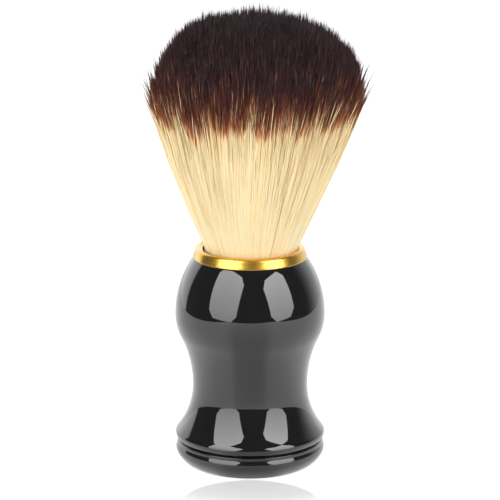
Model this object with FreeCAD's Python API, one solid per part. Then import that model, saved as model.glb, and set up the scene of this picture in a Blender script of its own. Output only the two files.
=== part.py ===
import FreeCAD, Part
import math
import os
from FreeCAD import Vector

# Shaving brush, standing on its foot. The origin is the centre of the foot on the floor, +Z is up the axis.
# All lengths are millimetres and all angles degrees. A "rise" is a height above the feature named before it.

# handle outline, from the floor up
foot_radius = 17.45           # widest line of the foot bead
foot_rise = 3.85              # that line above the floor
foot_round = 2.25             # round at that line
foot_turn = 30.0              # how far the round turns under before a flatter one takes over
foot_inset = 3.5              # where the flatter one meets the floor, in from the widest line
lip_depth = 0.35              # upright lip on top of the bead, in from the widest line
lip_rise = 1.45               # lip above the widest line
lip_height = 0.45
groove_depth = 0.95           # groove where the foot plug meets the handle, in from the widest line
groove_rise = 2.2             # groove above the widest line
flare_depth = 1.0             # widest line of the flare, out from the groove
flare_rise = 1.35             # flare above the groove
flare_round = 1.5             # convex round on top of the flare
waist_radius = 13.5           # narrowest line of the grip
waist_rise = 11.6             # waist above the flare
bulb_radius = 17.5            # widest line of the bulb
bulb_rise = 17.1              # bulb above the waist
bulb_round = 12.0             # convex round under the bulb's widest line
shoulder_rise = 13.6          # top face of the handle above the bulb

# foot plug and ballast
foot_recess_depth = 0.6       # hollow under the foot, so that it stands on a ring
foot_land = 1.5               # width of that ring
cavity_radius = 10.2          # ballast cavity up the middle of the handle
spigot_height = 4.0           # plug inside the cavity, above the groove
spigot_clearance = 0.05
spigot_chamfer = 0.6
ballast_radius = 9.8
ballast_height = 18.0
ballast_chamfer = 0.8
ballast_bed = 0.5             # glue under the ballast
web_thickness = 3.0           # wall between the cavity and the socket

# collar ring
collar_bore_radius = 11.0     # takes a 22 mm knot
collar_crest_radius = 12.0
collar_round = 0.9            # quarter round outside the crest
collar_flare = 0.4            # how much the band widens towards its foot
collar_height = 2.4
collar_lip_drop = 0.4         # inner lip below the crest
collar_skirt_wall = 0.7
collar_skirt_length = 6.0
collar_overhang = 0.15        # collar foot past the edge of the handle's top face
skirt_clearance = 0.05        # skirt in the handle's socket

# knot: cup, resin, winding
cup_clearance = 0.05          # cup in the collar's skirt
cup_wall = 0.8
cup_floor = 1.2
cup_height = 11.0
cup_rim_drop = 1.5            # cup rim below the handle's top face
cup_bed = 0.6                 # glue under the cup
resin_height = 5.0
thread_thickness = 0.5        # one turn of the winding
thread_turns = 6
thread_rise = 1.0             # winding above the resin
thread_gap = 0.1              # winding to the cup's wall

# hair
fibre_clearance = 0.05        # hair to the cup, and to the collar's bore
fan_half_angle = 22.8         # side of the fan from the axis
fan_radius = 24.7             # widest line of the fan
shoulder_round = 18.8         # round where the fan's side turns into the dome
dome_radius = 120.0           # shallow dome that the tips are cut to
dye_drop = 7.3                # dye line at the side of the fan, below its widest line
sway_clearance = 0.5          # swaying hair to the outside of the collar, as it passes over it
bend_band_thickness = 2.0     # shell of hair between the fixed and the swaying hair
bend_gap = 0.3                # between the spheres that the three lots of hair end on

# heights that follow
groove_z = foot_rise + groove_rise
flare_z = groove_z + flare_rise
waist_z = flare_z + waist_rise
bulb_z = waist_z + bulb_rise
handle_top_z = bulb_z + shoulder_rise
cup_rim_z = handle_top_z - cup_rim_drop
cup_bottom_z = cup_rim_z - cup_height
socket_floor_z = cup_bottom_z - cup_bed
cavity_top_z = socket_floor_z - web_thickness
spigot_top_z = groove_z + spigot_height
ballast_z = spigot_top_z + ballast_bed
collar_crest_z = handle_top_z + collar_height
collar_lip_z = collar_crest_z - collar_lip_drop
resin_z = cup_bottom_z + cup_floor
resin_top_z = resin_z + resin_height
thread_z = resin_top_z + thread_rise
thread_top_z = thread_z + thread_turns * thread_thickness

# radii that follow
foot_contact_radius = foot_radius - foot_inset
groove_radius = foot_radius - groove_depth
flare_radius = groove_radius + flare_depth
collar_band_radius = collar_crest_radius + collar_round
collar_foot_radius = collar_band_radius + collar_flare
seat_radius = collar_foot_radius - collar_overhang
skirt_radius = collar_bore_radius + collar_skirt_wall
socket_radius = skirt_radius + skirt_clearance
cup_radius = collar_bore_radius - cup_clearance
cup_inner_radius = cup_radius - cup_wall
root_radius = cup_inner_radius - fibre_clearance
thread_radius = cup_inner_radius - thread_gap
neck_radius = thread_radius - thread_thickness
mouth_radius = collar_bore_radius - fibre_clearance

# the hair bends about a point on the axis, level with the collar's crest, so it is parted on spheres about it
root_ball_radius = math.hypot(collar_foot_radius, collar_height) + sway_clearance - bend_gap

# fan: the side is a cone from the collar's lip, then a tangent round, then a tangent dome
fan_slope = math.tan(math.radians(fan_half_angle))
fan_cosine = math.cos(math.radians(fan_half_angle))
crest_hair_radius = mouth_radius + collar_lip_drop * fan_slope
round_centre_radius = fan_radius - shoulder_round
round_centre_z = collar_crest_z + (
    shoulder_round / fan_cosine + round_centre_radius - crest_hair_radius) / fan_slope
dome_centre_z = round_centre_z - math.sqrt((dome_radius - shoulder_round) ** 2 - round_centre_radius ** 2)
dome_join_angle = math.degrees(math.atan2(round_centre_z - dome_centre_z, round_centre_radius))
dye_z = round_centre_z - dye_drop
dye_radius = crest_hair_radius + (dye_z - collar_crest_z) * fan_slope


def at(radius, z):
    """Point of an outline in the XZ plane."""
    return Vector(radius, 0, z)


def line(*points):
    """Straight edges through the points."""
    return [Part.LineSegment(a, b).toShape() for a, b in zip(points, points[1:])]


def arc(centre, radius, start, end):
    """Arc about a centre between two angles, measured from the +X direction of the outline."""
    def on(angle):
        turn = math.radians(angle)
        return centre + Vector(radius * math.cos(turn), 0, radius * math.sin(turn))
    return [Part.Arc(on(start), on((start + end) / 2), on(end)).toShape()]


def flank(crest, edge):
    """Arc that leaves a crest upright and ends at an edge further in."""
    inset = crest.x - edge.x
    rise = edge.z - crest.z
    radius = (inset ** 2 + rise ** 2) / (2 * inset)
    turn = math.degrees(math.atan2(rise, radius - inset))
    return arc(crest - Vector(radius, 0, 0), radius, 0, turn)


def tuck(crest, edge, crest_round, crest_turn):
    """Round that leaves a crest upright, then a flatter tangent round down to an edge further in."""
    crest_centre = crest - Vector(crest_round, 0, 0)
    turn = math.radians(crest_turn)
    outward = Vector(math.cos(turn), 0, -math.sin(turn))
    joint = crest_centre + outward * crest_round
    span = edge - joint
    radius = span.Length ** 2 / (-2 * span.dot(outward))
    centre = joint - outward * radius
    last = math.degrees(math.atan2(edge.z - centre.z, edge.x - centre.x))
    return arc(crest_centre, crest_round, -crest_turn, 0) + arc(centre, radius, last, -crest_turn)


def swing(crest, hollow, crest_round):
    """Two tangent arcs from a convex crest to a hollow, both upright at their ends."""
    inset = crest.x - hollow.x
    rise = hollow.z - crest.z
    hollow_round = (inset ** 2 + rise ** 2) / (2 * inset) - crest_round
    crest_centre = crest - Vector(crest_round, 0, 0)
    hollow_centre = hollow + Vector(hollow_round, 0, 0)
    between = hollow_centre - crest_centre
    turn = math.degrees(math.atan2(between.z, between.x))
    back = turn - math.copysign(180, turn)
    upright = math.copysign(180, back)
    return arc(crest_centre, crest_round, 0, turn) + arc(hollow_centre, hollow_round, back, upright)


def spun(edges):
    """Solid of revolution about the axis from a closed outline."""
    wire = Part.Wire(Part.__sortEdges__(edges))
    return Part.Face(wire).revolve(Vector(0, 0, 0), Vector(0, 0, 1), 360)


def side_point(ball_radius):
    """Where the fan's side crosses a sphere about the bending point on the axis."""
    a = 1 + fan_slope ** 2
    b = crest_hair_radius * fan_slope
    c = crest_hair_radius ** 2 - ball_radius ** 2
    rise = (math.sqrt(b ** 2 - a * c) - b) / a
    return at(crest_hair_radius + rise * fan_slope, collar_crest_z + rise)


def ball_arc(ball_radius):
    """Arc of such a sphere, from the fan's side to the axis."""
    side = side_point(ball_radius)
    start = math.degrees(math.atan2(side.z - collar_crest_z, side.x))
    return arc(at(0, collar_crest_z), ball_radius, start, 90)


def handle_body():
    groove = at(groove_radius, groove_z)
    flare = at(flare_radius, flare_z)
    waist = at(waist_radius, waist_z)
    bulb = at(bulb_radius, bulb_z)
    seat = at(seat_radius, handle_top_z)
    outline = flank(flare, groove) + swing(flare, waist, flare_round)
    outline += swing(bulb, waist, bulb_round) + flank(bulb, seat)
    outline += line(
        seat, at(socket_radius, handle_top_z), at(socket_radius, socket_floor_z), at(0, socket_floor_z),
        at(0, cavity_top_z), at(cavity_radius, cavity_top_z), at(cavity_radius, groove_z), groove)
    return spun(outline)


def foot_plug():
    spigot_radius = cavity_radius - spigot_clearance
    recess_radius = foot_contact_radius - foot_land
    crest = at(foot_radius, foot_rise)
    contact = at(foot_contact_radius, 0)
    lip = crest + Vector(-lip_depth, 0, lip_rise)
    groove = at(groove_radius, groove_z)
    outline = tuck(crest, contact, foot_round, foot_turn) + swing(crest, lip, foot_round)
    outline += line(
        lip, lip + Vector(0, 0, lip_height), groove, at(spigot_radius, groove_z),
        at(spigot_radius, spigot_top_z - spigot_chamfer), at(spigot_radius - spigot_chamfer, spigot_top_z),
        at(0, spigot_top_z), at(0, foot_recess_depth),
        at(recess_radius, foot_recess_depth), at(recess_radius, 0), contact)
    return spun(outline)


def ballast_weight():
    slug = Part.makeCylinder(ballast_radius, ballast_height, at(0, ballast_z))
    rims = [edge for edge in slug.Edges if isinstance(edge.Curve, Part.Circle)]
    return slug.makeChamfer(ballast_chamfer, rims)


def ballast_adhesive():
    return Part.makeCylinder(ballast_radius - ballast_chamfer, ballast_bed, at(0, spigot_top_z))


def collar_ring():
    skirt_z = handle_top_z - collar_skirt_length
    crest = at(collar_crest_radius, collar_crest_z)
    band_z = collar_crest_z - collar_round
    outline = arc(at(collar_crest_radius, band_z), collar_round, 0, 90)
    outline += line(
        crest, at(collar_bore_radius, collar_lip_z), at(collar_bore_radius, skirt_z),
        at(skirt_radius, skirt_z), at(skirt_radius, handle_top_z), at(collar_foot_radius, handle_top_z),
        at(collar_band_radius, band_z))
    return spun(outline)


def knot_cup():
    return spun(line(
        at(0, cup_bottom_z), at(cup_radius, cup_bottom_z), at(cup_radius, cup_rim_z),
        at(cup_inner_radius, cup_rim_z), at(cup_inner_radius, resin_z), at(0, resin_z), at(0, cup_bottom_z)))


def knot_resin():
    return Part.makeCylinder(cup_inner_radius, resin_height, at(0, resin_z))


def binding_thread():
    """Winding of single turns side by side, each a half round on the outside."""
    outline = line(at(neck_radius, thread_top_z), at(neck_radius, thread_z))
    core_radius = thread_radius - thread_thickness / 2
    outline += line(at(neck_radius, thread_z), at(core_radius, thread_z))
    for turn in range(thread_turns):
        middle_z = thread_z + (turn + 0.5) * thread_thickness
        outline += arc(at(core_radius, middle_z), thread_thickness / 2, -90, 90)
    outline += line(at(core_radius, thread_top_z), at(neck_radius, thread_top_z))
    return spun(outline)


def socket_adhesive():
    """Glue under the cup and round it, up to the collar's skirt."""
    glue_top_z = handle_top_z - collar_skirt_length
    return spun(line(
        at(0, socket_floor_z), at(socket_radius, socket_floor_z), at(socket_radius, glue_top_z),
        at(cup_radius, glue_top_z), at(cup_radius, cup_bottom_z), at(0, cup_bottom_z), at(0, socket_floor_z)))


def fibre_roots():
    outline = line(
        at(0, resin_top_z), at(root_radius, resin_top_z), at(root_radius, thread_z),
        at(neck_radius, thread_z), at(neck_radius, thread_top_z), at(root_radius, thread_top_z),
        at(root_radius, cup_rim_z), at(mouth_radius, collar_lip_z), side_point(root_ball_radius))
    outline += ball_arc(root_ball_radius)
    outline += line(at(0, collar_crest_z + root_ball_radius), at(0, resin_top_z))
    return spun(outline)


def fibre_bend_band():
    inner = root_ball_radius + bend_gap
    outer = inner + bend_band_thickness
    outline = ball_arc(inner) + ball_arc(outer)
    outline += line(side_point(inner), side_point(outer))
    outline += line(at(0, collar_crest_z + inner), at(0, collar_crest_z + outer))
    return spun(outline)


def whole_fan():
    """Swaying hair above the bend band, shafts and tips in one."""
    foot_ball = root_ball_radius + bend_band_thickness + 2 * bend_gap
    round_centre = at(round_centre_radius, round_centre_z)
    side_end = round_centre + Vector(shoulder_round * fan_cosine, 0, -shoulder_round * fan_cosine * fan_slope)
    outline = ball_arc(foot_ball) + line(side_point(foot_ball), side_end)
    outline += arc(round_centre, shoulder_round, -fan_half_angle, dome_join_angle)
    outline += arc(at(0, dome_centre_z), dome_radius, dome_join_angle, 90)
    outline += line(at(0, dome_centre_z + dome_radius), at(0, collar_crest_z + foot_ball))
    return spun(outline)


def undyed_space():
    """Space below the dye line, which curves over the fan as the dome does."""
    centre_z = dye_z - math.sqrt(dome_radius ** 2 - dye_radius ** 2)
    return Part.makeSphere(dome_radius, at(0, centre_z))


def export(name, shape):
    if not shape.isValid():
        raise ValueError(name + " is not a valid solid")
    solid = shape if shape.ShapeType == "Solid" else shape.Solids[0]
    solid.exportStep("parts/" + name + ".step")
    print(name, "volume %.1f mm3" % solid.Volume, "top %.2f mm" % solid.BoundBox.ZMax)


os.makedirs("parts", exist_ok=True)
fan = whole_fan()
undyed = undyed_space()
export("handle_body", handle_body())
export("foot_plug", foot_plug())
export("ballast_weight", ballast_weight())
export("ballast_adhesive", ballast_adhesive())
export("collar_ring", collar_ring())
export("knot_cup", knot_cup())
export("knot_resin", knot_resin())
export("binding_thread", binding_thread())
export("socket_adhesive", socket_adhesive())
export("fibre_roots", fibre_roots())
export("fibre_bend_band", fibre_bend_band())
export("fibre_shafts", fan.common(undyed))
export("fibre_tips", fan.cut(undyed))
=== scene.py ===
import bmesh
import bpy
import math
import numpy as np
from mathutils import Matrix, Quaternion, Vector


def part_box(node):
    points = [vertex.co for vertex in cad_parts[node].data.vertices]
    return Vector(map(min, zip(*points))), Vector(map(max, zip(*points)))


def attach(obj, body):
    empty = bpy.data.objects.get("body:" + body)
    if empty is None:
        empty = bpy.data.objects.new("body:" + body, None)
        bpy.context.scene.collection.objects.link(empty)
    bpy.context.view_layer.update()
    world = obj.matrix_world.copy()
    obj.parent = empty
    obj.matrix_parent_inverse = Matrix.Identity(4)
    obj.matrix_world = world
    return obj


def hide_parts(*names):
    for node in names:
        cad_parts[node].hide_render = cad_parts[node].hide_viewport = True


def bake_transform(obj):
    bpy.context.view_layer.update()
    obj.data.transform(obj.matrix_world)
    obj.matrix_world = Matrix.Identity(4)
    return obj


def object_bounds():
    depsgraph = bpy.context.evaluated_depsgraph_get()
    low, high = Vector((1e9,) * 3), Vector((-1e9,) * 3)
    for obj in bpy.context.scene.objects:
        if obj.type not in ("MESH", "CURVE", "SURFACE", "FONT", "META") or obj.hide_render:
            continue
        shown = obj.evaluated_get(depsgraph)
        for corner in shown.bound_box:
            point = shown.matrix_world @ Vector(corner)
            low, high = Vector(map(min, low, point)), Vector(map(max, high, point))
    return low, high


# Shaving brush on its foot: black turned handle, gold collar, cream hair with dark dyed tips.
# The shop sizes are millimetres, and everything that goes into a mesh is metres.

mm = 0.001
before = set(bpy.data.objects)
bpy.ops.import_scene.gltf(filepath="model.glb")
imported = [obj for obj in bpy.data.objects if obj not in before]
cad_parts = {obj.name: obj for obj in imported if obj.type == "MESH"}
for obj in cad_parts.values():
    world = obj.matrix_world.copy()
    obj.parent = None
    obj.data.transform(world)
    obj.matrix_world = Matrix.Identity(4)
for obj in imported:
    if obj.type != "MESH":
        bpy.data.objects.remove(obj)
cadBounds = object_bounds()


# camera, lamps, floor and room, with distances in metres

view = dict(elevation=14.3, distance=0.70, lens=217.0, sensor=36.0, aimRise=0.4774)


def placeCamera():
    low, high = cadBounds
    aim = Vector((0, 0, low.z + (high.z - low.z) * view["aimRise"]))
    tilt = math.radians(view["elevation"])
    data = bpy.data.cameras.new("camera")
    data.lens = view["lens"]
    data.sensor_width = view["sensor"]
    camera = bpy.data.objects.new("camera", data)
    camera.location = aim + Vector((0, -math.cos(tilt), math.sin(tilt))) * view["distance"]
    camera.rotation_euler = (math.radians(90) - tilt, 0, 0)
    bpy.context.scene.collection.objects.link(camera)
    bpy.context.scene.camera = camera


softBox = dict(distance=0.90, corner=0.13, lowEnd=2.3, highEnd=4.1)
softBoxes = dict(left=dict(azimuth=-42.0, elevation=22.5, roll=-3.5, width=0.79, height=0.93, gain=1.0),
                 right=dict(azimuth=50.0, elevation=19.5, roll=6.0, width=0.67, height=0.82, gain=1.13))


def placeLamps():
    for side, box in softBoxes.items():
        data = bpy.data.lights.new("softBox_" + side, "AREA")
        data.shape = "RECTANGLE"
        data.size = box["width"]
        data.size_y = box["height"]
        data.energy = box["gain"] * math.pi * box["width"] * box["height"]
        dressLamp(data, box)
        lamp = bpy.data.objects.new("softBox_" + side, data)
        turn, tilt = math.radians(box["azimuth"]), math.radians(box["elevation"])
        toLamp = Vector((math.sin(turn) * math.cos(tilt), -math.cos(turn) * math.cos(tilt), math.sin(tilt)))
        lamp.location = Vector((0, 0, cadBounds[1].z / 2)) + toLamp * softBox["distance"]
        roll = Quaternion((0, 0, 1), math.radians(box["roll"]))
        lamp.rotation_euler = (toLamp.to_track_quat("Z", "Y") @ roll).to_euler()
        lamp.visible_camera = False
        bpy.context.scene.collection.objects.link(lamp)


def dressLamp(data, box):
    # a soft box has cut corners and is a little dimmer towards its lower end
    data.use_nodes = True
    tree = data.node_tree
    parts = tree.nodes.new("ShaderNodeSeparateXYZ")
    tree.links.new(tree.nodes.new("ShaderNodeNewGeometry").outputs["Parametric"], parts.inputs[0])
    across, up = parts.outputs["X"], parts.outputs["Y"]
    glow = spread(tree, up, 0.0, 1.0, softBox["lowEnd"], softBox["highEnd"])
    outX = sums(tree, "MULTIPLY", sums(tree, "ABSOLUTE", sums(tree, "SUBTRACT", across, 0.5)), box["width"])
    outY = sums(tree, "MULTIPLY", sums(tree, "ABSOLUTE", sums(tree, "SUBTRACT", up, 0.5)), box["height"])
    reach = (box["width"] + box["height"]) / 2 - softBox["corner"]
    inside = sums(tree, "LESS_THAN", sums(tree, "ADD", outX, outY), reach)
    tree.links.new(sums(tree, "MULTIPLY", glow, inside), tree.nodes["Emission"].inputs["Strength"])


# node helpers

def newMaterial(name):
    material = bpy.data.materials.new(name)
    material.use_nodes = True
    return material, material.node_tree, material.node_tree.nodes["Principled BSDF"]


def newGroup(name, inputs, outputs):
    tree = bpy.data.node_groups.new(name, "ShaderNodeTree")
    for label, kind, value in inputs:
        socket = tree.interface.new_socket(label, in_out="INPUT", socket_type=kind)
        socket.default_value = value
    for label, kind in outputs:
        tree.interface.new_socket(label, in_out="OUTPUT", socket_type=kind)
    return tree, tree.nodes.new("NodeGroupInput"), tree.nodes.new("NodeGroupOutput")


def useGroup(tree, group, **values):
    node = tree.nodes.new("ShaderNodeGroup")
    node.node_tree = group
    for label, value in values.items():
        node.inputs[label].default_value = value
    return node


def feed(tree, value, socket):
    if isinstance(value, bpy.types.NodeSocket):
        tree.links.new(value, socket)
    else:
        socket.default_value = value


def sums(tree, operation, *values):
    node = tree.nodes.new("ShaderNodeMath")
    node.operation = operation
    for socket, value in zip(node.inputs, values):
        feed(tree, value, socket)
    return node.outputs[0]


def spread(tree, value, fromLow, fromHigh, toLow=0.0, toHigh=1.0, smooth=False):
    node = tree.nodes.new("ShaderNodeMapRange")
    node.interpolation_type = "SMOOTHSTEP" if smooth else "LINEAR"
    for label, amount in (("Value", value), ("From Min", fromLow), ("From Max", fromHigh),
                          ("To Min", toLow), ("To Max", toHigh)):
        feed(tree, amount, node.inputs[label])
    return node.outputs[0]


def blendColour(tree, share, first, second):
    node = tree.nodes.new("ShaderNodeMix")
    node.data_type = "RGBA"
    factor, a, b = [socket for socket in node.inputs if socket.enabled]
    feed(tree, share, factor)
    feed(tree, first, a)
    feed(tree, second, b)
    return [socket for socket in node.outputs if socket.enabled][0]


def colourRamp(tree, value, stops):
    node = tree.nodes.new("ShaderNodeValToRGB")
    ramp = node.color_ramp
    while len(ramp.elements) < len(stops):
        ramp.elements.new(0.5)
    for element, (position, colour) in zip(ramp.elements, stops):
        element.position = position
        element.color = (*colour, 1.0)
    tree.links.new(value, node.inputs[0])
    return node.outputs[0]


mostNoise = (0.3, 0.7)  # nearly all of a noise lies between these


def noise(tree, vector, scale, detail=2.0):
    node = tree.nodes.new("ShaderNodeTexNoise")
    node.inputs["Scale"].default_value = scale
    node.inputs["Detail"].default_value = detail
    tree.links.new(vector, node.inputs["Vector"])
    return node.outputs[0]


def objectPlace(tree, stretch=(1.0, 1.0, 1.0)):
    source = tree.nodes.new("ShaderNodeTexCoord")
    mapping = tree.nodes.new("ShaderNodeMapping")
    mapping.inputs["Scale"].default_value = stretch
    tree.links.new(source.outputs["Object"], mapping.inputs["Vector"])
    return mapping.outputs[0]


def rayIs(tree, *kinds):
    light = tree.nodes.new("ShaderNodeLightPath")
    total = light.outputs[kinds[0]]
    for kind in kinds[1:]:
        total = sums(tree, "MAXIMUM", total, light.outputs[kind])
    return total


room = dict(front=0.085, leftEdge=(0.41, 0.48), rightEdge=(0.10, 0.75), backNear=(1.15, 0.8), backFar=1.25,
            crossover=(-0.2, 0.2))


def makeRoom():
    # dark in front, lighter behind: the left wall starts at an edge and the right one fades in
    world = bpy.data.worlds.new("room")
    world.use_nodes = True
    bpy.context.scene.world = world
    tree = world.node_tree
    source = tree.nodes.new("ShaderNodeTexCoord")
    parts = tree.nodes.new("ShaderNodeSeparateXYZ")
    tree.links.new(source.outputs["Generated"], parts.inputs[0])
    side = spread(tree, parts.outputs["X"], *room["crossover"])
    edgeStart = spread(tree, side, 0.0, 1.0, room["leftEdge"][0], room["rightEdge"][0])
    edgeEnd = spread(tree, side, 0.0, 1.0, room["leftEdge"][1], room["rightEdge"][1])
    near = spread(tree, side, 0.0, 1.0, *room["backNear"])
    back = spread(tree, parts.outputs["Y"], edgeEnd, 1.0, near, room["backFar"])
    wall = spread(tree, parts.outputs["Y"], edgeStart, edgeEnd, room["front"], back, smooth=True)
    seen = rayIs(tree, "Is Camera Ray")
    strength = sums(tree, "MAXIMUM", wall, seen)
    tree.links.new(strength, tree.nodes["Background"].inputs["Strength"])
    tree.nodes["Background"].inputs["Color"].default_value = (1, 1, 1, 1)


floorLook = dict(
    left=-0.265, right=0.30, front=-0.46, back=1.8, corner=0.12, cornerSteps=6, white=0.88, roughness=0.6,
    paintedMirrorSpot=(0.0, -0.0308), spotEdge=(0.0150, 0.0166), fade=(0.026, 0.044), glow=0.75, spotGlow=0.13,
    aheadEdge=(-0.97, -0.80), paintedReflectedGlow=0.3)


def makeFloor():
    # a white sheet of card with rounded front corners
    look = floorLook
    bm = bmesh.new()
    bmesh.ops.create_grid(bm, x_segments=1, y_segments=1, size=0.5)
    across, along = look["right"] - look["left"], look["back"] - look["front"]
    bmesh.ops.scale(bm, vec=(across, along, 1), verts=bm.verts[:])
    middle = Vector((look["left"] + look["right"], look["front"] + look["back"], 0)) / 2
    bmesh.ops.translate(bm, vec=middle, verts=bm.verts[:])
    front = [vertex for vertex in bm.verts if vertex.co.y < middle.y]
    bmesh.ops.bevel(bm, geom=front, offset=look["corner"], affect="VERTICES", segments=look["cornerSteps"],
                    profile=0.5, material=-1)
    floor = finishMesh("floor", bm)
    floor.data.materials.append(floorFinish(look))


def roundSpot(tree, point, edge):
    # 1 inside a round spot on the floor and 0 outside it
    apart = tree.nodes.new("ShaderNodeVectorMath")
    apart.operation = "DISTANCE"
    tree.links.new(objectPlace(tree), apart.inputs[0])
    apart.inputs[1].default_value = (*point, 0.0)
    return spread(tree, apart.outputs["Value"], *edge, 1.0, 0.0, smooth=True)


def floorFinish(look):
    # the white of the background, held back in a soft spot before the foot as a painted reflection of the
    # foot; in reflections the floor glows with painted light, held back in what mirrors the front
    material, tree, shader = newMaterial("floorWhite")
    shader.inputs["Base Color"].default_value = (look["white"],) * 3 + (1,)
    shader.inputs["Roughness"].default_value = look["roughness"]
    shader.inputs["Specular IOR Level"].default_value = 0.0
    # painted reflection of the foot: a soft grey spot before it, fading away from the axis, where the floor
    # glows less for the camera
    paintedMirrorSpot = sums(tree, "MULTIPLY", roundSpot(tree, look["paintedMirrorSpot"], look["spotEdge"]),
                roundSpot(tree, (0.0, 0.0), look["fade"]))
    seen = sums(tree, "MULTIPLY", spread(tree, paintedMirrorSpot, 0.0, 1.0, look["glow"], look["spotGlow"]),
                rayIs(tree, "Is Camera Ray"))
    # painted reflected light and shade: the floor glows for glossy and transmission rays, but not straight
    # ahead of the brush
    direction = tree.nodes.new("ShaderNodeVectorMath")
    direction.operation = "NORMALIZE"
    tree.links.new(objectPlace(tree), direction.inputs[0])
    parts = tree.nodes.new("ShaderNodeSeparateXYZ")
    tree.links.new(direction.outputs[0], parts.inputs[0])
    white = spread(tree, parts.outputs["Y"], *look["aheadEdge"], 0.0, look["paintedReflectedGlow"], smooth=True)
    paintedReflectedGlow = sums(tree, "MULTIPLY", white, rayIs(tree, "Is Glossy Ray", "Is Transmission Ray"))
    shader.inputs["Emission Color"].default_value = (1, 1, 1, 1)
    tree.links.new(sums(tree, "ADD", seen, paintedReflectedGlow), shader.inputs["Emission Strength"])
    return material


# shared effects

def makeGrain():
    tree, source, result = newGroup(
        "surfaceGrain", [("Size", "NodeSocketFloat", 0.5), ("Detail", "NodeSocketFloat", 2.0)],
        [("Height", "NodeSocketFloat")])
    node = tree.nodes.new("ShaderNodeTexNoise")
    tree.links.new(objectPlace(tree), node.inputs["Vector"])
    tree.links.new(sums(tree, "DIVIDE", 1.0 / mm, source.outputs["Size"]), node.inputs["Scale"])
    tree.links.new(source.outputs["Detail"], node.inputs["Detail"])
    tree.links.new(node.outputs[0], result.inputs["Height"])
    return tree


def makeLatheMarks():
    # fine rings left by turning: they change with height and with distance from the axis, never round it
    tree, source, result = newGroup(
        "latheMarks", [("Spacing", "NodeSocketFloat", 0.1)], [("Height", "NodeSocketFloat")])
    parts = tree.nodes.new("ShaderNodeSeparateXYZ")
    tree.links.new(objectPlace(tree), parts.inputs[0])
    x, y, z = parts.outputs
    out = sums(tree, "SQRT", sums(tree, "ADD", sums(tree, "MULTIPLY", x, x), sums(tree, "MULTIPLY", y, y)))
    both = tree.nodes.new("ShaderNodeCombineXYZ")
    tree.links.new(out, both.inputs[0])
    tree.links.new(z, both.inputs[2])
    node = tree.nodes.new("ShaderNodeTexNoise")
    node.inputs["Detail"].default_value = 3.0
    tree.links.new(both.outputs[0], node.inputs["Vector"])
    tree.links.new(sums(tree, "DIVIDE", 1.0 / mm, source.outputs["Spacing"]), node.inputs["Scale"])
    tree.links.new(node.outputs[0], result.inputs["Height"])
    return tree


specks = dict(size=(0.02, 0.07), filmScale=90.0, film=(0.45, 0.75), filmShare=0.25)


def makeDust():
    # sparse specks and a faint uneven film
    tree, source, result = newGroup(
        "dust", [("Spacing", "NodeSocketFloat", 2.0), ("Amount", "NodeSocketFloat", 0.3)],
        [("Mask", "NodeSocketFloat")])
    node = tree.nodes.new("ShaderNodeTexVoronoi")
    tree.links.new(objectPlace(tree), node.inputs["Vector"])
    tree.links.new(sums(tree, "DIVIDE", 1.0 / mm, source.outputs["Spacing"]), node.inputs["Scale"])
    dots = spread(tree, node.outputs["Distance"], *specks["size"], 1.0, 0.0)
    film = spread(tree, noise(tree, objectPlace(tree), specks["filmScale"]), *specks["film"])
    mask = sums(tree, "ADD", dots, sums(tree, "MULTIPLY", film, specks["filmShare"]))
    tree.links.new(sums(tree, "MULTIPLY", mask, source.outputs["Amount"]), result.inputs["Mask"])
    return tree


def addBump(tree, shader, height, strength, depth):
    bump = tree.nodes.new("ShaderNodeBump")
    bump.inputs["Strength"].default_value = strength
    bump.inputs["Distance"].default_value = depth * mm
    tree.links.new(height, bump.inputs["Height"])
    tree.links.new(bump.outputs[0], shader.inputs["Normal"])
    return bump


# finishes

lacquer = dict(
    black=(0.006, 0.006, 0.0063), dusty=(0.03, 0.03, 0.031), roughness=0.035, dustyRoughness=0.3,
    dustSpacing=2.6, dust=0.35, coatRoughness=0.02, peelSize=5.0, peelStrength=0.25, peelDepth=0.02)


def lacquerBlack(grain, dust):
    material, tree, shader = newMaterial("lacquerBlack")
    mask = useGroup(tree, dust, Spacing=lacquer["dustSpacing"], Amount=lacquer["dust"]).outputs["Mask"]
    colour = blendColour(tree, mask, (*lacquer["black"], 1), (*lacquer["dusty"], 1))
    tree.links.new(colour, shader.inputs["Base Color"])
    rough = spread(tree, mask, 0.0, 1.0, lacquer["roughness"], lacquer["dustyRoughness"])
    tree.links.new(rough, shader.inputs["Roughness"])
    shader.inputs["IOR"].default_value = 1.5
    shader.inputs["Coat Weight"].default_value = 1.0
    shader.inputs["Coat Roughness"].default_value = lacquer["coatRoughness"]
    peel = useGroup(tree, grain, Size=lacquer["peelSize"], Detail=1.0).outputs["Height"]
    addBump(tree, shader, peel, lacquer["peelStrength"], lacquer["peelDepth"])
    return material


gold = dict(light=(1.0, 0.66, 0.12), deep=(0.98, 0.47, 0.035), roughness=0.27, coatRoughness=0.12,
            marks=0.12, markStrength=0.3, markDepth=0.01, dustSpacing=1.4, dust=0.25)


def anodisedGold(lathe, dust):
    material, tree, shader = newMaterial("anodisedGold")
    marks = useGroup(tree, lathe, Spacing=gold["marks"]).outputs["Height"]
    shade = spread(tree, marks, *mostNoise)
    colour = blendColour(tree, shade, (*gold["deep"], 1), (*gold["light"], 1))
    tree.links.new(colour, shader.inputs["Base Color"])
    mask = useGroup(tree, dust, Spacing=gold["dustSpacing"], Amount=gold["dust"]).outputs["Mask"]
    tree.links.new(sums(tree, "ADD", gold["roughness"], mask), shader.inputs["Roughness"])
    shader.inputs["Metallic"].default_value = 1.0
    shader.inputs["Coat Weight"].default_value = 1.0
    shader.inputs["Coat Roughness"].default_value = gold["coatRoughness"]
    addBump(tree, shader, marks, gold["markStrength"], gold["markDepth"])
    return material


steel = dict(dull=(0.33, 0.32, 0.31), bright=(0.55, 0.55, 0.56), roughness=(0.28, 0.5), marks=0.25,
             markStrength=0.5, markDepth=0.03, blotchSize=4.0)


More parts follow.
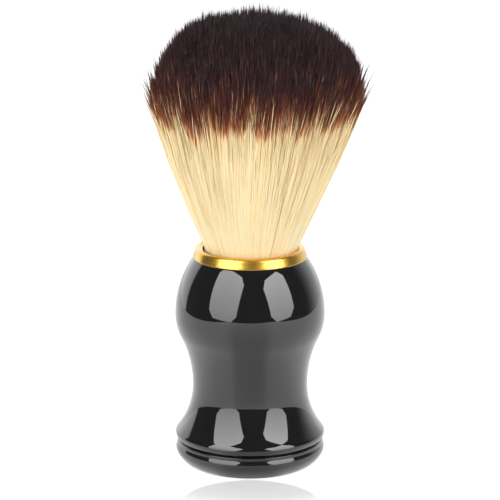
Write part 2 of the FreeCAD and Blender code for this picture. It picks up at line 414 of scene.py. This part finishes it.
def turnedSteel(lathe, grain):
    material, tree, shader = newMaterial("turnedSteel")
    marks = useGroup(tree, lathe, Spacing=steel["marks"]).outputs["Height"]
    blotch = useGroup(tree, grain, Size=steel["blotchSize"], Detail=3.0).outputs["Height"]
    colour = blendColour(tree, blotch, (*steel["dull"], 1), (*steel["bright"], 1))
    tree.links.new(colour, shader.inputs["Base Color"])
    tree.links.new(spread(tree, marks, 0.2, 0.8, *steel["roughness"]), shader.inputs["Roughness"])
    shader.inputs["Metallic"].default_value = 1.0
    addBump(tree, shader, marks, steel["markStrength"], steel["markDepth"])
    return material


plain = dict(uneven=0.15, bumpStrength=0.6)


def plainFinish(name, grain, look):
    material, tree, shader = newMaterial(name)
    height = useGroup(tree, grain, Size=look["size"], Detail=4.0).outputs["Height"]
    colour = blendColour(tree, height, (*look["first"], 1), (*look["second"], 1))
    tree.links.new(colour, shader.inputs["Base Color"])
    rough = spread(tree, height, *mostNoise, look["roughness"], look["roughness"] + plain["uneven"])
    tree.links.new(rough, shader.inputs["Roughness"])
    addBump(tree, shader, height, plain["bumpStrength"], look["bump"])
    return material


# turning tools: an outline is drawn point by point in the XZ plane, then spun about the axis

turning = dict(segments=144, arcStep=0.35, lineStep=0.4, cornerAngle=38.0, cornerBreak=0.07, weld=1e-7)


def place(radius, z):
    return Vector((radius, 0, z))


def startAt(bm, point):
    return bm.verts.new(point * mm)


def lineTo(bm, last, point):
    start = last.co.copy()
    steps = max(1, round((point * mm - start).length / (turning["lineStep"] * mm)))
    for step in range(1, steps + 1):
        last = bmesh.ops.extrude_vert_indiv(bm, verts=[last])["verts"][0]
        last.co = start.lerp(point * mm, step / steps)
    return last


def arcTo(bm, last, centre, turn):
    # turn is in radians, anticlockwise with +X to the right and +Z up
    length = abs(turn) * (last.co - centre * mm).length / mm
    made = bmesh.ops.spin(bm, geom=[last], cent=centre * mm, axis=(0, -1, 0), dvec=(0, 0, 0), angle=turn,
                          steps=max(3, math.ceil(length / turning["arcStep"])), use_merge=False,
                          use_duplicate=False)
    return [part for part in made["geom_last"] if isinstance(part, bmesh.types.BMVert)][0]


def flank(crest, edge):
    # arc that leaves a crest upright and ends at an edge further in: its centre and its turn
    inset, rise = crest.x - edge.x, edge.z - crest.z
    radius = (inset ** 2 + rise ** 2) / (2 * inset)
    return crest - place(radius, 0), math.atan2(rise, radius - inset)


def swing(crest, hollow, crestRound):
    # two tangent arcs from a convex crest to a hollow: both centres and the turn of the first
    inset, rise = crest.x - hollow.x, hollow.z - crest.z
    hollowRound = (inset ** 2 + rise ** 2) / (2 * inset) - crestRound
    crestCentre, hollowCentre = crest - place(crestRound, 0), hollow + place(hollowRound, 0)
    between = hollowCentre - crestCentre
    return crestCentre, hollowCentre, math.atan2(between.z, between.x)


def tuck(crest, edge, crestRound, crestTurn):
    # flatter arc under a crest's round: its centre and its turn, from the edge up to that round
    turn = math.radians(crestTurn)
    outward = place(math.cos(turn), -math.sin(turn))
    joint = crest - place(crestRound, 0) + outward * crestRound
    span = edge - joint
    centre = joint + outward * span.length_squared / (2 * span.dot(outward))
    first = math.atan2(edge.z - centre.z, edge.x - centre.x)
    return centre, -turn - first


def finishMesh(name, bm):
    mesh = bpy.data.meshes.new(name)
    bm.to_mesh(mesh)
    bm.free()
    piece = bpy.data.objects.new(name, mesh)
    bpy.context.scene.collection.objects.link(piece)
    return piece


def spinOutline(name, bm):
    outline = bm.verts[:] + bm.edges[:]
    bmesh.ops.spin(bm, geom=outline, cent=(0, 0, 0), axis=(0, 0, 1), dvec=(0, 0, 0), angle=2 * math.pi,
                   steps=turning["segments"], use_merge=True)
    bmesh.ops.remove_doubles(bm, verts=bm.verts[:], dist=turning["weld"])
    bmesh.ops.recalc_face_normals(bm, faces=bm.faces[:])
    corner = math.radians(turning["cornerAngle"])
    corners = [edge for edge in bm.edges if len(edge.link_faces) == 2 and edge.calc_face_angle() > corner]
    bmesh.ops.bevel(bm, geom=corners, offset=turning["cornerBreak"] * mm, affect="EDGES", segments=2,
                    profile=0.5, material=-1, clamp_overlap=True)
    for face in bm.faces:
        face.smooth = True
    return finishMesh(name, bm)


# handle, foot and collar

handle = dict(
    footRise=3.85, footRound=2.25, footTurn=30.0, footInset=3.5, lipDepth=0.35, lipRise=1.45, lipHeight=0.45,
    grooveDepth=0.95, grooveRise=2.2, flareDepth=1.0, flareRise=1.35, flareRound=1.5, waistRadius=13.5,
    waistRise=11.6, bulbRise=17.1, bulbRound=12.0, cavityRadius=10.2, spigotClearance=0.05, spigotChamfer=0.6,
    footRecess=0.6, footLand=1.5, web=3.0)
collar = dict(boreRadius=11.0, crestRadius=12.0, crestRound=0.9, lipDrop=0.4, skirtWall=0.7, overhang=0.15,
              skirtClearance=0.05)


def boxEdges(node):
    low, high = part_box(node)
    return high.x / mm, low.z / mm, high.z / mm


def makeHandle(finish):
    bulbRadius, _, topZ = boxEdges("handle_body")
    footRadius, _, _ = boxEdges("foot_plug")
    collarRadius, _, _ = boxEdges("collar_ring")
    _, socketFloorZ, _ = boxEdges("socket_adhesive")
    groove = place(footRadius - handle["grooveDepth"], handle["footRise"] + handle["grooveRise"])
    flare = groove + place(handle["flareDepth"], handle["flareRise"])
    waist = place(handle["waistRadius"], flare.z + handle["waistRise"])
    bulb = place(bulbRadius, waist.z + handle["bulbRise"])
    seat = place(collarRadius - collar["overhang"], topZ)
    socketRadius = collar["boreRadius"] + collar["skirtWall"] + collar["skirtClearance"]
    cavityTopZ = socketFloorZ - handle["web"]
    bm = bmesh.new()
    last = startAt(bm, place(0, socketFloorZ))
    for corner in (place(socketRadius, socketFloorZ), place(socketRadius, topZ), seat):
        last = lineTo(bm, last, corner)
    centre, turn = flank(bulb, seat)
    last = arcTo(bm, last, centre, -turn)
    crestCentre, hollowCentre, turn = swing(bulb, waist, handle["bulbRound"])
    last = arcTo(bm, last, crestCentre, turn)
    last = arcTo(bm, last, hollowCentre, -turn)
    crestCentre, hollowCentre, turn = swing(flare, waist, handle["flareRound"])
    last = arcTo(bm, last, hollowCentre, turn)
    last = arcTo(bm, last, crestCentre, -turn)
    centre, turn = flank(flare, groove)
    last = arcTo(bm, last, centre, turn)
    for corner in (place(handle["cavityRadius"], groove.z), place(handle["cavityRadius"], cavityTopZ),
                   place(0, cavityTopZ)):
        last = lineTo(bm, last, corner)
    piece = spinOutline("turned_handle", bm)
    piece.data.materials.append(finish)
    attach(piece, "handle")
    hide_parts("handle_body")
    return piece


def makeFoot(finish):
    footRadius, footZ, spigotTopZ = boxEdges("foot_plug")
    contactRadius = footRadius - handle["footInset"]
    crest = place(footRadius, footZ + handle["footRise"])
    lip = crest + place(-handle["lipDepth"], handle["lipRise"])
    groove = crest + place(-handle["grooveDepth"], handle["grooveRise"])
    spigotRadius = handle["cavityRadius"] - handle["spigotClearance"]
    recessRadius = contactRadius - handle["footLand"]
    bm = bmesh.new()
    last = startAt(bm, place(0, handle["footRecess"]))
    for corner in (place(recessRadius, handle["footRecess"]), place(recessRadius, footZ),
                   place(contactRadius, footZ)):
        last = lineTo(bm, last, corner)
    underCentre, underTurn = tuck(crest, place(contactRadius, footZ), handle["footRound"], handle["footTurn"])
    last = arcTo(bm, last, underCentre, underTurn)
    last = arcTo(bm, last, crest - place(handle["footRound"], 0), math.radians(handle["footTurn"]))
    crestCentre, lipCentre, turn = swing(crest, lip, handle["footRound"])
    last = arcTo(bm, last, crestCentre, turn)
    last = arcTo(bm, last, lipCentre, -turn)
    chamfer = handle["spigotChamfer"]
    for corner in (lip + place(0, handle["lipHeight"]), groove, place(spigotRadius, groove.z),
                   place(spigotRadius, spigotTopZ - chamfer), place(spigotRadius - chamfer, spigotTopZ),
                   place(0, spigotTopZ)):
        last = lineTo(bm, last, corner)
    piece = spinOutline("turned_foot", bm)
    piece.data.materials.append(finish)
    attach(piece, "handle")
    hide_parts("foot_plug")
    return piece


def makeCollar(finish):
    footRadius, skirtZ, crestZ = boxEdges("collar_ring")
    _, _, seatZ = boxEdges("handle_body")
    bandRadius = collar["crestRadius"] + collar["crestRound"]
    skirtRadius = collar["boreRadius"] + collar["skirtWall"]
    lip = place(collar["boreRadius"], crestZ - collar["lipDrop"])
    bm = bmesh.new()
    first = last = startAt(bm, place(footRadius, seatZ))
    last = lineTo(bm, last, place(bandRadius, crestZ - collar["crestRound"]))
    last = arcTo(bm, last, place(collar["crestRadius"], crestZ - collar["crestRound"]), math.pi / 2)
    for corner in (lip, place(collar["boreRadius"], skirtZ), place(skirtRadius, skirtZ),
                   place(skirtRadius, seatZ), place(footRadius, seatZ)):
        last = lineTo(bm, last, corner)
    bmesh.ops.pointmerge(bm, verts=[first, last], merge_co=first.co)
    piece = spinOutline("turned_collar", bm)
    piece.data.materials.append(finish)
    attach(piece, "handle")
    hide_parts("collar_ring")
    return piece


# hair: every hair is planned whole, then its pieces are cut from that plan, so the cuts meet

hair = dict(
    seed=11, halfAngle=22.8, shoulderRound=18.8, domeRadius=120.0, mouthClearance=0.35, splay=24.0,
    straightTo=14.0, ease=40.0, rootDepth=1.6, partRise=7.5, bendRise=15.0, footBends=(0.2, 0.5, 0.82),
    sideBends=(0.22, 0.82), overlap=0.2, tipTaper=1.0, shift=0.3, lean=1.6, leanRise=42.0, mapHeight=70.0,
    mapStripe=0.0008)
sideHair = dict(count=9000, thickness=0.100, inner=0.86, crowd=1.5, jitter=0.002, drift=1.7, stray=0.3,
                fuzz=(-0.8, 0.3), drop=1.7, tall=0.6, wisp=0.4, tuft=0.5, steps=(0.5, 0.8, 1.0))
crownHair = dict(count=22000, thickness=0.088, outer=0.90, drift=2.0, stray=0.4, fuzz=(-0.5, 0.2), drop=1.35,
                 tall=0.5, wisp=0.4, tuft=0.34, length=16.0, steps=(0.0, 0.05, 0.8, 1.0))
strayHair = dict(count=300, thickness=0.085, inner=0.93, drift=3.5, stray=1.8, mostStray=2.4, leastStray=0.4,
                 tone=(0.45, 0.8), fuzz=(-3.0, 2.0), drop=0.0, tall=0.5, wisp=0.4, tuft=0.55, rows=9)


class Fan:
    # the space that the hair fills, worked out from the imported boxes
    def __init__(self):
        _, _, self.crestZ = boxEdges("collar_ring")
        self.radius, self.dyeZ, self.topZ = boxEdges("fibre_tips")
        angle = math.radians(hair["halfAngle"])
        self.slope = math.tan(angle)
        self.base = collar["boreRadius"] + collar["lipDrop"] * self.slope
        self.mouth = self.base - hair["mouthClearance"]
        self.roundX = self.radius - hair["shoulderRound"]
        self.roundZ = self.crestZ + (
            hair["shoulderRound"] / math.cos(angle) + self.roundX - self.base) / self.slope
        self.tangentZ = self.roundZ - hair["shoulderRound"] * math.sin(angle)
        self.domeZ = self.topZ - hair["domeRadius"]
        self.joinAngle = math.atan2(self.roundZ - self.domeZ, self.roundX)
        self.joinZ = self.domeZ + hair["domeRadius"] * math.sin(self.joinAngle)

    def side(self, z):
        # outline of the whole fan: a cone, the shoulder's round, then the dome
        cone = self.base + self.slope * (z - self.crestZ)
        bend = self.roundX + np.sqrt(np.maximum(hair["shoulderRound"] ** 2 - (z - self.roundZ) ** 2, 0))
        dome = np.sqrt(np.maximum(hair["domeRadius"] ** 2 - (z - self.domeZ) ** 2, 0))
        return np.where(z < self.tangentZ, cone, np.where(z < self.joinZ, bend, dome))

    def reach(self, share, z):
        # one hair: straight out of the collar, then turning upright; share is its place in the mouth
        rise = np.maximum(z - self.crestZ, 0)
        over = np.maximum(rise - hair["straightTo"], 0)
        run = np.minimum(rise, hair["straightTo"]) + hair["ease"] * (1 - np.exp(-over / hair["ease"]))
        return share * self.mouth + np.tan(np.radians(hair["splay"]) * share) * run

    def tipZ(self, share):
        # height where a hair meets the outline, by halving
        low = np.full_like(share, self.tangentZ)
        high = np.full_like(share, self.topZ)
        for _ in range(hairShape["halvings"]):
            middle = (low + high) / 2
            inside = self.reach(share, middle) < self.side(middle) + hairShape["slack"]
            low, high = np.where(inside, middle, low), np.where(inside, high, middle)
        return low


def gather(x, y, size):
    # which tuft each hair stands in, by its place in the collar
    cells = np.floor(np.stack([x, y], axis=1) / size).astype(int)
    tufts, member = np.unique(cells, axis=0, return_inverse=True)
    return tufts, member.ravel()


hairTone = dict(middle=0.55, tuftSpread=0.06, spread=0.13, range=(0.2, 0.88), brownBelow=0.035,
                brown=(0.02, 0.14), paleAbove=0.945, pale=(0.91, 1.0))
hairDye = dict(rise=2.6, patch=0.9, patchSpread=0.9, hairSpread=1.1, higherShare=0.06, higher=(2.0, 9.0),
               latePatches=0.16, lateShare=0.5, lateLag=0.6, lateRise=8.0)
hairShape = dict(tuftOff=0.3, tallest=4.5, girth=(0.8, 1.15), pull=1.9, wave=0.10, waveTurns=9,
                 leanFrom=0.3, leanOver=0.5, leanCurve=1.5, taperCurve=0.6, halvings=30, slack=0.001)


def planHair(fan, rng, kind, azimuth, share):
    # each hair is drawn to the middle of its tuft, and a tuft shares length and tone
    count = len(share)
    x, y = share * fan.mouth * np.cos(azimuth), share * fan.mouth * np.sin(azimuth)
    tufts, member = gather(x, y, kind["tuft"])
    off = hairShape["tuftOff"]
    middle = (tufts + 0.5 + rng.uniform(-off, off, tufts.shape)) * kind["tuft"]
    mood = np.clip(rng.normal(0, 1, len(tufts)), -2, 2)[member]
    look = hairTone
    tone = look["middle"] + look["tuftSpread"] * mood + rng.normal(0, look["spread"], count)
    tone = np.clip(tone, *look["range"])
    odd = rng.random(count)
    tone = np.where(odd < look["brownBelow"], rng.uniform(*look["brown"], count), tone)
    tone = np.where(odd > look["paleAbove"], rng.uniform(*look["pale"], count), tone)
    # the dye starts at much the same height in a patch, and lags behind in half the hairs of a few patches
    dye = hairDye
    patches, patch = gather(x, y, dye["patch"])
    late = rng.random(len(patches)) < dye["latePatches"]
    lag = np.where(late[patch] & (rng.random(count) < dye["lateShare"]), dye["lateLag"], 0.0)
    dyeStart = rng.normal(0, dye["patchSpread"], len(patches))[patch]
    dyeStart += rng.normal(0, dye["hairSpread"], count)
    dyeStart += np.where(rng.random(count) < dye["higherShare"], rng.uniform(*dye["higher"], count), 0)
    # most tufts end a little short of the outline, and a few stand well above it
    tallest = hairShape["tallest"]
    tall = kind["tall"] * np.minimum(rng.exponential(1.0, len(tufts)), tallest)[member] - kind["drop"]
    tall += kind["wisp"] * np.minimum(rng.exponential(1.0, count), tallest)
    return dict(
        azimuth=azimuth, share=share, pullX=middle[member, 0] - x, pullY=middle[member, 1] - y,
        tip=fan.tipZ(share) + rng.uniform(*kind["fuzz"], count) + tall,
        drift=np.radians(rng.normal(0, kind["drift"], count)), stray=rng.normal(0, kind["stray"], count),
        wave=rng.uniform(0, 2 * math.pi, (count, 2)),
        thickness=kind["thickness"] * rng.uniform(*hairShape["girth"], count),
        tone=tone, dyeShift=-dyeStart - dye["rise"], dyeLag=lag)


def pickHair(plan, chosen):
    return {label: values[chosen] for label, values in plan.items()}


def hairPlaces(fan, plan, z):
    # where each hair is at its heights z, one row per hair
    rise = np.maximum(z - fan.crestZ, 0) / (fan.topZ - fan.crestZ)
    each = {label: values[:, None] for label, values in plan.items() if label != "wave"}
    along = np.maximum(z - fan.crestZ, 0) / (each["tip"] - fan.crestZ)
    angle = each["azimuth"] + each["drift"] * along ** 2
    radius = fan.reach(each["share"], z) + each["stray"] * along ** 4
    pull, wave, turns = hairShape["pull"], hairShape["wave"], hairShape["waveTurns"]
    x = radius * np.cos(angle) + each["pullX"] * pull * along ** 4
    y = radius * np.sin(angle) + each["pullY"] * pull * along ** 4
    x = x + wave * rise * np.sin(plan["wave"][:, :1] + rise * turns)
    y = y + wave * rise * np.sin(plan["wave"][:, 1:] + rise * turns)
    return x + leanAt(z - fan.crestZ, each["share"]), y


def leanAt(rise, share):
    # the knot sits a little to one side in the collar, and its outer hair leans further that way
    outer = np.clip((share - hairShape["leanFrom"]) / hairShape["leanOver"], 0, 1)
    upward = np.clip(rise / hair["leanRise"], 0, 1) ** hairShape["leanCurve"]
    return hair["shift"] + hair["lean"] * upward * outer


def mapHair(mesh, rows, tone, dyeRise):
    # across the map is a hair's tone; up the map is its height, with the dye line in the middle
    sides = 4
    vertex = np.arange(len(mesh.vertices))
    strand, row, side = vertex // (rows * sides), vertex // sides % rows, vertex % sides
    across = tone[strand] + side * hair["mapStripe"]
    up = 0.5 + dyeRise[strand, row] / hair["mapHeight"]
    corner = np.empty(len(mesh.loops), dtype=np.int32)
    mesh.loops.foreach_get("vertex_index", corner)
    for layer in list(mesh.uv_layers):
        mesh.uv_layers.remove(layer)
    layer = mesh.uv_layers.new(name="OFBake")
    layer.uv.foreach_set("vector", np.stack([across[corner], up[corner]], axis=1).astype(np.float32).ravel())


def cutHair(name, fan, plan, z, finish):
    # hairs are thin tubes made from one curve, closed to a point at both ends
    count, rows = z.shape
    x, y = hairPlaces(fan, plan, z)
    taper = np.clip((plan["tip"][:, None] - z) / hair["tipTaper"], 0, 1) ** hairShape["taperCurve"]
    radius = plan["thickness"][:, None] * taper
    radius[:, 0] = radius[:, -1] = 0
    points = np.stack([x * mm, y * mm, z * mm, np.ones_like(z)], axis=2).astype(np.float32)
    curve = bpy.data.curves.new(name, "CURVE")
    curve.dimensions = "3D"
    curve.bevel_depth = mm
    curve.bevel_resolution = 0
    for number in range(count):
        spline = curve.splines.new("POLY")
        spline.points.add(rows - 1)
        spline.points.foreach_set("co", points[number].ravel())
        spline.points.foreach_set("radius", radius[number])
    holder = bpy.data.objects.new(name, curve)
    mesh = bpy.data.meshes.new_from_object(holder)
    bpy.data.objects.remove(holder)
    bpy.data.curves.remove(curve)
    rise = z - fan.dyeZ
    rise = rise - plan["dyeLag"][:, None] * np.clip(rise, 0, hairDye["lateRise"])
    mapHair(mesh, rows, plan["tone"], rise + plan["dyeShift"][:, None])
    bm = bmesh.new()
    bm.from_mesh(mesh)
    bpy.data.meshes.remove(mesh)
    bmesh.ops.remove_doubles(bm, verts=bm.verts[:], dist=turning["weld"])
    for face in bm.faces:
        face.smooth = True
        if max(edge.calc_length() for edge in face.edges) < 2 * hair["overlap"] * mm:
            for edge in face.edges:  # the short ends don't shade into the hair's side
                edge.smooth = False
    piece = finishMesh(name, bm)
    piece.data.materials.append(finish)
    print("  %s: %d hairs, %d faces" % (name, count, len(piece.data.polygons)))
    return piece


def sway(piece):
    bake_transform(piece)


def halves(plan):
    front = np.sin(plan["azimuth"]) < 0
    return ("front", pickHair(plan, front)), ("back", pickHair(plan, ~front))


def makeSideHair(fan, rng, finish):
    count = sideHair["count"]
    azimuth = np.arange(count) * (2 * math.pi / count) + rng.normal(0, sideHair["jitter"], count)
    share = 1 - (1 - sideHair["inner"]) * rng.random(count) ** sideHair["crowd"]
    plan = planHair(fan, rng, sideHair, azimuth, share)
    rootZ, partZ = fan.crestZ - hair["rootDepth"], fan.crestZ + hair["partRise"]
    bends = fan.crestZ + hair["partRise"] * np.array(hair["footBends"])
    levels = np.array([rootZ, fan.crestZ, *bends, partZ, partZ + hair["overlap"]])
    bends = partZ + hair["bendRise"] * np.array(hair["sideBends"])
    lower = np.array([partZ - hair["overlap"], partZ, *bends])
    for half, part in halves(plan):
        foot = cutHair("hair_foot_" + half, fan, part,
                       np.broadcast_to(levels, (len(part["tip"]), len(levels))), finish)
        sway(foot)
        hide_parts("fibre_bend_band")
        z = partZ + (part["tip"][:, None] - partZ) * np.array(sideHair["steps"])
        z = np.hstack([np.broadcast_to(lower, (len(z), len(lower))), z])
        piece = cutHair("hair_side_" + half, fan, part, z, finish)
        sway(piece)
        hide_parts("fibre_shafts", "fibre_tips")


def makeCrownHair(fan, rng, finish):
    count = crownHair["count"]
    azimuth = rng.uniform(0, 2 * math.pi, count)
    share = crownHair["outer"] * np.sqrt(rng.random(count))
    plan = planHair(fan, rng, crownHair, azimuth, share)
    for half, part in halves(plan):
        z = part["tip"][:, None] - crownHair["length"] * (1 - np.array(crownHair["steps"]))
        piece = cutHair("hair_crown_" + half, fan, part, z, finish)
        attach(piece, "fan")
        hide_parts("fibre_tips")


def makeStrayHair(fan, rng, finish):
    count = strayHair["count"]
    azimuth = rng.uniform(0, 2 * math.pi, count)
    share = rng.uniform(strayHair["inner"], 1.0, count)
    plan = planHair(fan, rng, strayHair, azimuth, share)
    plan["stray"] = np.minimum(np.abs(plan["stray"]), strayHair["mostStray"]) + strayHair["leastStray"]
    plan["tone"] = np.clip(plan["tone"], *strayHair["tone"])
    partZ = fan.crestZ + hair["partRise"]
    z = partZ + (plan["tip"][:, None] - partZ) * np.linspace(0, 1, strayHair["rows"])
    piece = cutHair("hair_strays", fan, plan, z, finish)
    sway(piece)
    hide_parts("fibre_tips")


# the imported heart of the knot, under the hairs that are modelled one by one

core = dict(neckRadius=9.7, sideShare=0.90, shoulderRound=16.0)


def makeCores(fan, finish):
    _, rootZ, _ = boxEdges("fibre_roots")
    _, _, lipZ = boxEdges("handle_body")
    partZ = fan.crestZ + hair["partRise"]
    bm = bmesh.new()
    last = startAt(bm, place(0, rootZ))
    for corner in (place(core["neckRadius"], rootZ), place(core["neckRadius"], lipZ),
                   place(core["sideShare"] * fan.mouth, fan.crestZ),
                   place(core["sideShare"] * float(fan.side(partZ)), partZ), place(0, partZ)):
        last = lineTo(bm, last, corner)
    lower = spinOutline("knot_core_foot", bm)
    sway(lower)
    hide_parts("fibre_roots")
    angle = math.radians(hair["halfAngle"])
    roundCentre, domeCentre = place(fan.roundX, fan.roundZ), place(0, fan.domeZ)
    shoulder = roundCentre + place(math.cos(angle), -math.sin(angle)) * core["shoulderRound"]
    bm = bmesh.new()
    last = startAt(bm, place(0, partZ - hair["overlap"]))
    for corner in (place(core["sideShare"] * float(fan.side(partZ)), partZ - hair["overlap"]), shoulder):
        last = lineTo(bm, last, corner)
    last = arcTo(bm, last, roundCentre, angle + fan.joinAngle)
    arcTo(bm, last, domeCentre, math.pi / 2 - fan.joinAngle)
    upper = spinOutline("knot_core_fan", bm)
    sway(upper)
    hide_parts("fibre_shafts")
    for piece in (lower, upper):
        leanMesh(fan, piece)
        piece.data.materials.append(finish)


def leanMesh(fan, piece):
    # a core leans with the hair over it; it is measured below the dome's top, where the fan has no width
    for vertex in piece.data.vertices:
        out = math.hypot(vertex.co.x, vertex.co.y) / mm
        share = min(out / float(fan.side(min(vertex.co.z / mm, fan.topZ - 1))), 1.0)
        vertex.co.x += float(leanAt(vertex.co.z / mm - fan.crestZ, share)) * mm


inks = dict(
    pale=[(0.0, (0.52, 0.25, 0.07)), (0.2, (0.96, 0.68, 0.32)), (0.42, (1.0, 0.85, 0.52)),
          (0.75, (1.0, 0.88, 0.58)), (1.0, (1.0, 0.93, 0.70))],
    dyed=[(0.0, (0.98, 0.80, 0.46)), (0.085, (0.70, 0.34, 0.09)), (0.15, (0.30, 0.085, 0.028)),
          (0.26, (0.115, 0.034, 0.022)), (0.45, (0.038, 0.015, 0.016)), (1.0, (0.0115, 0.0085, 0.0105))],
    dyedRange=(-3.0, 27.0), edge=(-1.4, 0.9), lift=(0.35, 2.1), glint=4.5, glintRise=(3.0, 9.0))
strandLook = dict(roughness=(0.30, 0.44), specular=0.45, mottle=(400.0, 9.0), mottleTone=0.06)
heartLook = dict(streaks=2200.0, squeeze=0.03, tone=(0.35, 0.85), dyeUneven=0.03, roughness=0.6, bump=0.8,
                 bumpDepth=0.2)


def makeHairColour():
    tree, source, result = newGroup(
        "hairColour", [("Tone", "NodeSocketFloat", 0.5), ("Height", "NodeSocketFloat", 0.5)],
        [("Color", "NodeSocketColor")])
    tone = source.outputs["Tone"]
    dyeRise = sums(tree, "MULTIPLY", sums(tree, "SUBTRACT", source.outputs["Height"], 0.5), hair["mapHeight"])
    pale = colourRamp(tree, tone, inks["pale"])
    dyed = colourRamp(tree, spread(tree, dyeRise, *inks["dyedRange"]), inks["dyed"])
    glint = sums(tree, "MULTIPLY", spread(tree, tone, 0.90, 1.0, 0.0, inks["glint"]),
                 spread(tree, dyeRise, *inks["glintRise"]))
    lift = sums(tree, "ADD", spread(tree, tone, 0.1, 0.9, *inks["lift"]), glint)
    dark = tree.nodes.new("ShaderNodeVectorMath")
    dark.operation = "SCALE"
    tree.links.new(dyed, dark.inputs[0])
    tree.links.new(lift, dark.inputs["Scale"])
    share = spread(tree, dyeRise, *inks["edge"], smooth=True)
    tree.links.new(blendColour(tree, share, pale, dark.outputs[0]), result.inputs["Color"])
    return tree


def hairFinish(hairColour):
    material, tree, shader = newMaterial("hair")
    chart = tree.nodes.new("ShaderNodeUVMap")
    chart.uv_map = "OFBake"
    parts = tree.nodes.new("ShaderNodeSeparateXYZ")
    tree.links.new(chart.outputs[0], parts.inputs[0])
    stretch = tree.nodes.new("ShaderNodeMapping")
    stretch.inputs["Scale"].default_value = (*strandLook["mottle"], 1.0)
    tree.links.new(chart.outputs[0], stretch.inputs["Vector"])
    mottle = noise(tree, stretch.outputs[0], 1.0)
    colour = useGroup(tree, hairColour)
    uneven = spread(tree, mottle, *mostNoise, -strandLook["mottleTone"], strandLook["mottleTone"])
    tree.links.new(sums(tree, "ADD", parts.outputs["X"], uneven), colour.inputs["Tone"])
    tree.links.new(parts.outputs["Y"], colour.inputs["Height"])
    tree.links.new(colour.outputs["Color"], shader.inputs["Base Color"])
    tree.links.new(spread(tree, mottle, *mostNoise, *strandLook["roughness"]), shader.inputs["Roughness"])
    shader.inputs["Specular IOR Level"].default_value = strandLook["specular"]
    shader.inputs["Diffuse Roughness"].default_value = 1.0
    return material


def coreFinish(fan, hairColour):
    material, tree, shader = newMaterial("hairHeart")
    streaks = noise(tree, objectPlace(tree, (1.0, 1.0, heartLook["squeeze"])), heartLook["streaks"], 3.0)
    parts = tree.nodes.new("ShaderNodeSeparateXYZ")
    tree.links.new(objectPlace(tree), parts.inputs[0])
    dyeRise = sums(tree, "SUBTRACT", sums(tree, "DIVIDE", parts.outputs["Z"], mm), fan.dyeZ)
    colour = useGroup(tree, hairColour)
    tree.links.new(spread(tree, streaks, *mostNoise, *heartLook["tone"]), colour.inputs["Tone"])
    height = sums(tree, "ADD", sums(tree, "DIVIDE", dyeRise, hair["mapHeight"]), 0.5)
    uneven = spread(tree, streaks, *mostNoise, -heartLook["dyeUneven"], heartLook["dyeUneven"])
    tree.links.new(sums(tree, "ADD", height, uneven), colour.inputs["Height"])
    tree.links.new(colour.outputs["Color"], shader.inputs["Base Color"])
    shader.inputs["Roughness"].default_value = heartLook["roughness"]
    addBump(tree, shader, streaks, heartLook["bump"], heartLook["bumpDepth"])
    return material


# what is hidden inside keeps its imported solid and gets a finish

insideLooks = dict(
    setGlue=dict(first=(0.55, 0.42, 0.20), second=(0.70, 0.58, 0.33), size=1.2, roughness=0.25, bump=0.08),
    mouldedBlack=dict(first=(0.012, 0.012, 0.013), second=(0.03, 0.03, 0.032), size=0.3, roughness=0.45,
                      bump=0.03),
    castResin=dict(first=(0.62, 0.50, 0.27), second=(0.74, 0.64, 0.40), size=2.5, roughness=0.15, bump=0.05),
    waxedThread=dict(first=(0.60, 0.57, 0.50), second=(0.85, 0.83, 0.77), size=0.15, roughness=0.7,
                     bump=0.06))
insides = dict(ballast_weight="turnedSteel", ballast_adhesive="setGlue", socket_adhesive="setGlue",
               knot_cup="mouldedBlack", knot_resin="castResin", binding_thread="waxedThread")


def finishInside(lathe, grain):
    finishes = {name: plainFinish(name, grain, look) for name, look in insideLooks.items()}
    finishes["turnedSteel"] = turnedSteel(lathe, grain)
    for node, finish in insides.items():
        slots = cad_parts[node].data.materials
        slots.clear()
        slots.append(finishes[finish])


print("stage 1: camera, lamps, room and floor")
placeCamera()
placeLamps()
makeRoom()
makeFloor()

print("stage 2: handle, foot and collar")
grain, lathe, dust = makeGrain(), makeLatheMarks(), makeDust()
black = lacquerBlack(grain, dust)
makeHandle(black)
makeFoot(black)
makeCollar(anodisedGold(lathe, dust))

print("stage 3: hair")
fan = Fan()
rng = np.random.default_rng(hair["seed"])
hairColour = makeHairColour()
strands = hairFinish(hairColour)
makeSideHair(fan, rng, strands)
makeCrownHair(fan, rng, strands)
makeStrayHair(fan, rng, strands)
makeCores(fan, coreFinish(fan, hairColour))

finishInside(lathe, grain)
bpy.context.scene.view_settings.view_transform = "Standard"
